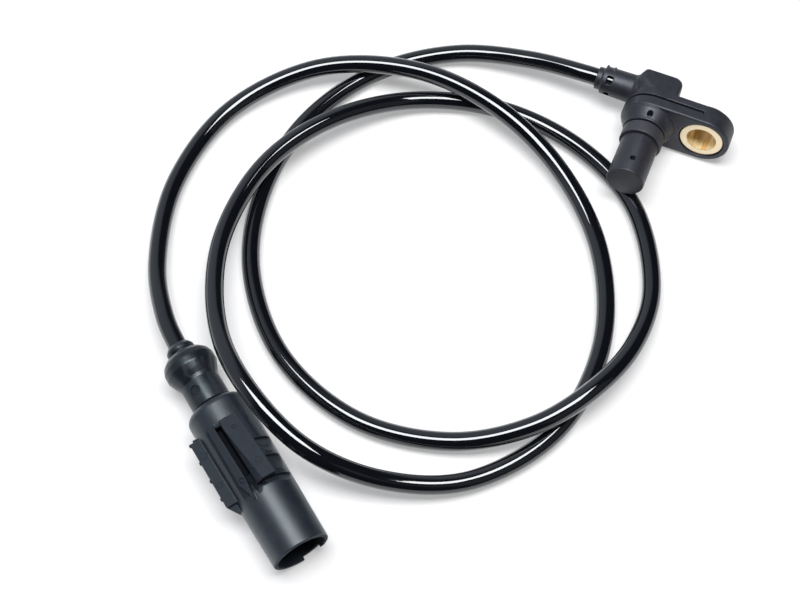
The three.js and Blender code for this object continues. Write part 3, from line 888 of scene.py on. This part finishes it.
def edgeSlot():
    slot = plate("edgeSlot", flangeOutline(2), -head["slotRear"], -head["slotFront"], 0.02, upright, 1)
    core = plate("slotCore", flangeOutline(-head["slotDepth"]), -10, 10, 0.02, upright, 1)
    return cut(slot, core, block("slotStop", head["slotEnd"], 30, -5, 12, -20, 20))


def bossWindow(turn):
    rear, front = head["windowRear"], head["windowFront"]
    half, corner = head["windowHalf"], head["windowCorner"]
    outline = rounded([
        (rear, -half, corner), (front, -half, corner), (front, half, corner), (rear, half, corner),
    ], 3)
    return plate("window", outline, 0.5, 8, 0.02, bossPlace @ Matrix.Rotation(math.radians(turn), 4, "X"), 1)


def makeHead():
    body = plate("headMoulding", flangeOutline(), -head["rear"], -head["front"], head["fillet"], upright)
    shoulder = turnedSolid("shoulder", rounded(head["shoulder"]), 96, tipTurn)
    join(body, rearBlock(), cableBoss(), shoulder, bossRibs())
    cut(
        body,
        edgeSlot(),
        block("slotTick", head["slotEnd"] - 0.5, head["slotEnd"], 2.2, head["slotRear"], 7, 9),
        rod("boltHole", head["boltHole"], -7, 2, 96, Matrix.Translation((head["bolt"], 0, 0)) @ tipTurn),
        rod("carrierHole", head["carrierHole"], -5.3, 6, 64, tipTurn),
        rod("jacketHole", head["jacketHole"], head["bossMouth"] - 1, -9, 64, bossPlace),
        pinHole(head["pinStation"], head["pinRadius"], 5, 12),
        *[bossWindow(turn) for turn in head["windowTurns"]],
    )
    soften(body, voxel=0.16, rounds=3, share=0.3)
    finishPiece(body, headFrame, mouldedPlastic, ["sensor_housing"], 60)


makeHead()
print("head moulded")


# The sensing end: the tip's cap and the collar behind it
tip = {
    "radius": 5.34,
    "start": 8.9,
    "end": 22.6,
    "endWall": 1,
    "wall": 1.04,
    "stemPlay": 0.3,
    "stemRear": -5,
    "stemFront": 20,
    "bandStart": 4.6,
    "bandEnd": 8.6,
    "bandRadius": 6.05,
    "pinStation": 17.9,
    "pinRadius": 0.85,
}


def makeTip():
    radius, start, end = tip["radius"], tip["start"], tip["end"]
    bore = radius - tip["wall"]
    cap = turnedSolid("tipCap", rounded([
        (bore, start), (radius, start, 0.2), (radius, end, 0.45),
        (0, end), (0, end - tip["endWall"]), (bore, end - tip["endWall"]),
    ]), 128, tipTurn)
    cut(cap, pinHole(tip["pinStation"], tip["pinRadius"], 2, 7))
    finishPiece(cap, headFrame, mouldedPlastic, ["tip_capsule"], 40)
    stem, rear, front = bore - tip["stemPlay"], tip["stemRear"], tip["stemFront"]
    band = turnedSolid("neckBand", rounded([
        (0, rear), (stem, rear), (stem, tip["bandStart"]), (tip["bandRadius"], tip["bandStart"], 0.3),
        (tip["bandRadius"], tip["bandEnd"], 0.3), (stem, tip["bandEnd"]), (stem, front), (0, front),
    ]), 128, tipTurn)
    cut(band, pinHole(tip["pinStation"], tip["pinRadius"], 2, 7))
    finishPiece(band, headFrame, carrierPlastic, ["element_carrier"], 40)


makeTip()
print("tip made")


# The bush that takes the bolt
bush = {"outer": 6.2, "bore": 4.2, "length": 7.5, "chamfer": 0.12}


def makeBush():
    outer, bore, chamfer = bush["outer"], bush["bore"], bush["chamfer"]
    ring = turnedSolid("boltBush", rounded([
        (bore + chamfer, -bush["length"]), (outer, -bush["length"], 0.2), (outer, 0, 0.2),
        (bore + chamfer, 0), (bore, -chamfer), (bore, chamfer - bush["length"]),
    ]), 128, Matrix.Translation((head["bolt"], 0, 0)) @ tipTurn)
    # the bore, where the finish paints shade and reflection streaks
    mark(ring, "bore", lambda x, y, z: 1 if math.hypot(x - head["bolt"], z) < bore + chamfer / 2 else 0)
    finishPiece(ring, headFrame, brass, ["flange_bush"], 40)


makeBush()
print("bush made")


# The plug: a round socket with a raised cover, an arrow rib and a slide rail
plug = {
    "mouthRadius": 7.8,
    "rearRadius": 8.4,
    "bore": 6.7,
    "depth": 21.8,
    "passage": 4.3,
    "length": 46.0,
    "dome": 2.6,
    "endRadius": 5.5,
    "endChamfer": 0.3,
    "coverRear": -38.2,
    "coverFront": -19.2,
    "coverLeft": -1.7,
    "coverRight": 3.2,
    "coverFlare": 0.9,
    "coverTop": 8.7,
    "valleyRear": -37,
    "valleyLength": 20.5,
    "valleyBottom": 6.95,
    "valleySpread": 2.7,
    "valleyRiseFrom": 0.85,
    "valleyRise": 4,
    "arrowTop": 8.95,
    "arrowTurn": 18,
    "arrowOutline": [
        (-38.5, -2.9), (-20.8, -2.9), (-16.6, -1.5), (-15.5, -1.05), (-19, -0.9), (-21.2, -0.6), (-38.5, -0.85),
    ],
    "slotFloor": 7.0,
    "slotOutline": [(-37.2, -1.9), (-37.2, -3.6), (-19.5, -3.15), (-19.5, -1.5)],
    "deepFloor": 5.4,
    "deepOutline": [(-37.2, -1.9), (-37.2, -3.6), (-22.4, -3.3), (-22.4, -1.5)],
    "railInner": 8.2,
    "railOuter": 10.6,
    "railTop": 3.2,
    "railStep": 2.1,
    "railRear": -38.6,
    "railFront": -16.4,
    "nubs": 4,
    "nubStep": 5.55,
    "teeth": (  # station, turn from the right towards the top, depth, ramp length, half width
        (-30.2, 45, 1.0, 4.6, 5),
        (-24.8, 45, 1.0, 4.6, 5),
        (-19.0, 45, 0.9, 2.4, 5),
        (-19.1, 68, 1.0, 1.8, 4),
        (-19.1, 82, 1.1, 1.6, 2.6),
    ),
    "ejectorMarks": (  # station, place across, turn, floor height, radius
        (-34.2, -9.1, 0, 3.05, 1.15),
        (-25, -9.3, 0, 3.05, 0.8),
        (-24, 1.9, 0, 8.55, 0.95),
        (-35, 0.9, 0, 8.45, 0.55),
        (-21.5, -1.75, 18, 8.6, 0.75),
    ),
    "ringUnder": 0.8,
    "skinRear": -43.2,
    "skinReach": 1.7,
    "skinFade": 7,
    # painted shade: the lower a point lies below this height, the darker it is painted
    "paintedShadeTop": 8,
    "paintedShadeFade": 0.9,
}


def plugRadius(x):
    front = plug["dome"] - plug["length"]
    return plug["rearRadius"] + (plug["mouthRadius"] - plug["rearRadius"]) * (x - front) / -front


def plugSkin(x, y, z):  # 1 on the smooth round outside, 0 on what stands out from it and in the valley
    if x < plug["skinRear"]:
        return 1
    if -38 < x < -17.5 and -6 < y < 2.6 and z > 0:
        return 0
    return plug["skinReach"] - abs(math.hypot(y, z) - plugRadius(x)) * plug["skinFade"]


def plugPaintedShade(x, y, z):  # painted shade: 1 at the bottom of the slot beside the arrow and of the hollow before the cover
    if not (-37.4 < x < -17.5 and -3.68 < y < 0.9) or z < 5.2 or (x > -22.3 and math.hypot(y, z) < 6.8):
        return 0
    return (plug["paintedShadeTop"] - z) * plug["paintedShadeFade"]


def plugShell():
    length, small, chamfer = plug["length"], plug["endRadius"], plug["endChamfer"]
    drop = plug["rearRadius"] - small
    reach = plug["dome"] - chamfer
    dome = []
    for k in range(11):
        angle = k * math.pi / 20
        dome.append((small + drop * math.sin(angle), chamfer - length + reach * (1 - math.cos(angle))))
    rim = rounded([(plug["mouthRadius"], 0, 0.35), (0, 0), (plug["rearRadius"], -40)], 5)[:6]
    profile = [(0, -length), (small - chamfer, -length), *dome, *rim, (0, 0)]
    shell = turnedSolid("plugMoulding", profile, 128)
    for x, turn, depth, ramp, half in plug["teeth"]:  # a steep face at the station, a ramp up to the round side
        end = x + ramp
        low = plugRadius(x) - depth
        wedge = [(x, low - 0.45), (x + 0.45, low + 0.08), (end, plugRadius(end) + 0.02), (end, 10), (x, 10)]
        cut(shell, plate("tooth", wedge, -half, half, 0.01, Matrix.Rotation(math.radians(turn), 4, "X"), 1))
    return shell


def plugCover(steps=12):  # flares to the right towards the mouth
    left, top = plug["coverLeft"], plug["coverTop"]
    sections = []
    for k in range(steps + 1):
        share = k / steps
        x = plug["coverRear"] + share * (plug["coverFront"] - plug["coverRear"])
        right = plug["coverRight"] + share * plug["coverFlare"]
        sections.append([(x, right, 5), (x, left, 5), (x, left, top), (x, right, top)])
    return loft("cover", sections)


def plugValley(steps=12):  # between the arrow and the cover, wider towards the mouth
    top = plug["coverTop"]
    sections = []
    for k in range(steps + 1):
        share = k / steps
        x = plug["valleyRear"] + share * plug["valleyLength"]
        low = plug["valleyBottom"] + max(0, share - plug["valleyRiseFrom"]) * plug["valleyRise"]
        flat = plug["coverLeft"] - 0.2 + share * plug["valleySpread"]
        rise = (flat + 2.1) / (top - low)
        sections.append([(x, -2.2, low), (x, flat + rise * 1.3, top + 1.3), (x, -3.3, 10), (x, -3.0, 8.6)])
    return loft("valley", sections)


def plugArrow():
    turned = Matrix.Rotation(math.radians(plug["arrowTurn"]), 4, "X")
    return plate("arrow", plug["arrowOutline"], 5, plug["arrowTop"], 0.2, turned, 3)


def plugRail():
    top, outer, inner = plug["railTop"], plug["railOuter"], plug["railInner"]
    along = Matrix(((0, 0, 1, 0), (1, 0, 0, 0), (0, 1, 0, 0), (0, 0, 0, 1)))  # an outline in Y and Z, along X
    profile = [(-7.5, -1.2), (-outer, top - 0.8), (-outer, top), (-5, top), (-5, -1.2)]
    rail = plate("rail", profile, plug["railRear"], plug["railFront"], 0.05, along, 1)
    front = plate("railFront", [
        (-19.1, -outer - 0.001), (-19.1, -outer - 1), (-15, -outer - 1),
        (-15, -inner), (plug["railFront"], -inner),
    ], -3, 5, 0.01, None, 1)
    return cut(rail, front, block("railStep", -18.9, -15, -12, -4, plug["railStep"], 5))


def railNubs():
    nub = plate("nub", [(0, -10.95), (0.8, -10.95), (0.8, -9.6), (0, -9.6)], 2.5, 3.1, 0.08, None, 2)
    nubs = repeated(nub, plug["nubs"], (plug["nubStep"], 0, 0))
    nubs.data.transform(Matrix.Translation((plug["railRear"], 0, 0)))
    return nubs


def ejectorMark(x, y, turn, low, radius):  # a faint disc, or a ring where it is small
    stand = Matrix.Rotation(math.radians(turn), 4, "X") @ Matrix.Translation((x, y, 0))
    stand = stand @ Matrix.Rotation(-math.pi / 2, 4, "Y")
    disc = rod("mark", radius, low, low + 3, 32, stand)
    if radius < plug["ringUnder"]:
        cut(disc, rod("markMiddle", radius - 0.35, low - 1, low + 4, 32, stand))
    return disc


def plugSlot():  # a shallow stretch, and a deep one behind the socket's floor
    return (
        plate("slot", plug["slotOutline"], plug["slotFloor"], 11, 0.01, None, 1),
        plate("deepSlot", plug["deepOutline"], plug["deepFloor"], 8, 0.01, None, 1),
    )


def makePlug():
    body = plugShell()
    heel = block("heel", -39.5, -38.5, -9.5, -8.4, 0.2, 2.3)
    join(body, plugCover(), plugArrow(), plugRail(), railNubs(), heel)
    cut(
        body,
        rod("bore", plug["bore"], -plug["depth"], 1, 128),
        rod("cablePassage", plug["passage"], -plug["length"] - 1, -plug["depth"] + 0.5, 64),
        plugValley(),
        *plugSlot(),
        block("notch", -1, 1, 0.5, 9, -9, -4.4),
        *[ejectorMark(*spot) for spot in plug["ejectorMarks"]],
    )
    soften(body, voxel=0.13, rounds=2, share=0.24)
    mark(body, "skin", plugSkin)
    # paints shade into the slot beside the arrow and into the hollow before the cover
    mark(body, "recess", plugPaintedShade)
    finishPiece(body, plugFrame, plugPlastic, ["plug_shell"], 60)


makePlug()
print("plug moulded")


# The boot behind the plug
boot = {
    "gap": 0.3,
    "length": 19.3,
    "bore": 2.9,
    "neck": 5.42,
    "spigot": 5.7,
    "spigotRadius": 4.0,
    "dimpleStation": -50.4,
    "dimpleTurn": 27.0,
    "dimple": [(0, 5.0), (1.3, 5.07), (1.4, 5.2), (1.45, 7), (0, 7)],
    "outline": (  # radius, station from the rear end, fillet
        (3.2, 0, 0.15), (3.9, 1, 0.3), (3.9, 1.9, 0.3), (3.55, 2.4, 0.2),
        (3.6, 2.8, 0.2), (5.3, 3.3, 0.5), (6.6, 4.6, 1.2), (7.15, 6.1, 1.2),
        (7.15, 8.1, 1.5), (6.4, 9.9, 1.5), (5.7, 11.3, 1.2), (5.42, 12.2, 1.0),
    ),
}


def makeBoot():
    front = -plug["length"] - boot["gap"]
    rear = front - boot["length"]
    bore, spigot, end = boot["bore"], boot["spigotRadius"], front + boot["spigot"]
    body = turnedSolid("bootMoulding", rounded([
        (bore, rear), *[(radius, rear + station, fillet) for radius, station, fillet in boot["outline"]],
        (boot["neck"], front, 0.15), (spigot, front), (spigot, end, 0.2), (bore, end),
    ]), 128)
    stand = Matrix.Rotation(math.radians(boot["dimpleTurn"]), 4, "X")
    stand = stand @ Matrix.Translation((boot["dimpleStation"], 0, 0)) @ Matrix.Rotation(-math.pi / 2, 4, "Y")
    cut(body, turnedSolid("dimple", boot["dimple"], 48, stand))
    finishPiece(body, plugFrame, bootRubber, ["cable_boot"], 40)


makeBoot()
print("boot made")


# Pieces inside keep their solids and get their finishes
carried = {
    "contact_carrier": carrierPlastic,
    "contact_pin_left": tinned,
    "contact_pin_right": tinned,
    "hall_chip": chipEpoxy,
    "bias_magnet": magnetAlloy,
    "noise_capacitor": ceramic,
    "chip_lead_left": tinned,
    "chip_lead_right": tinned,
    "wire_splice_left": tinned,
    "wire_splice_right": tinned,
    "head_wire_left": blueCore,
    "head_wire_right": whiteCore,
    "plug_wire_left": blueCore,
    "plug_wire_right": whiteCore,
}
for node, material in carried.items():
    bpy.data.objects[node].data.materials.clear()
    bpy.data.objects[node].data.materials.append(material)
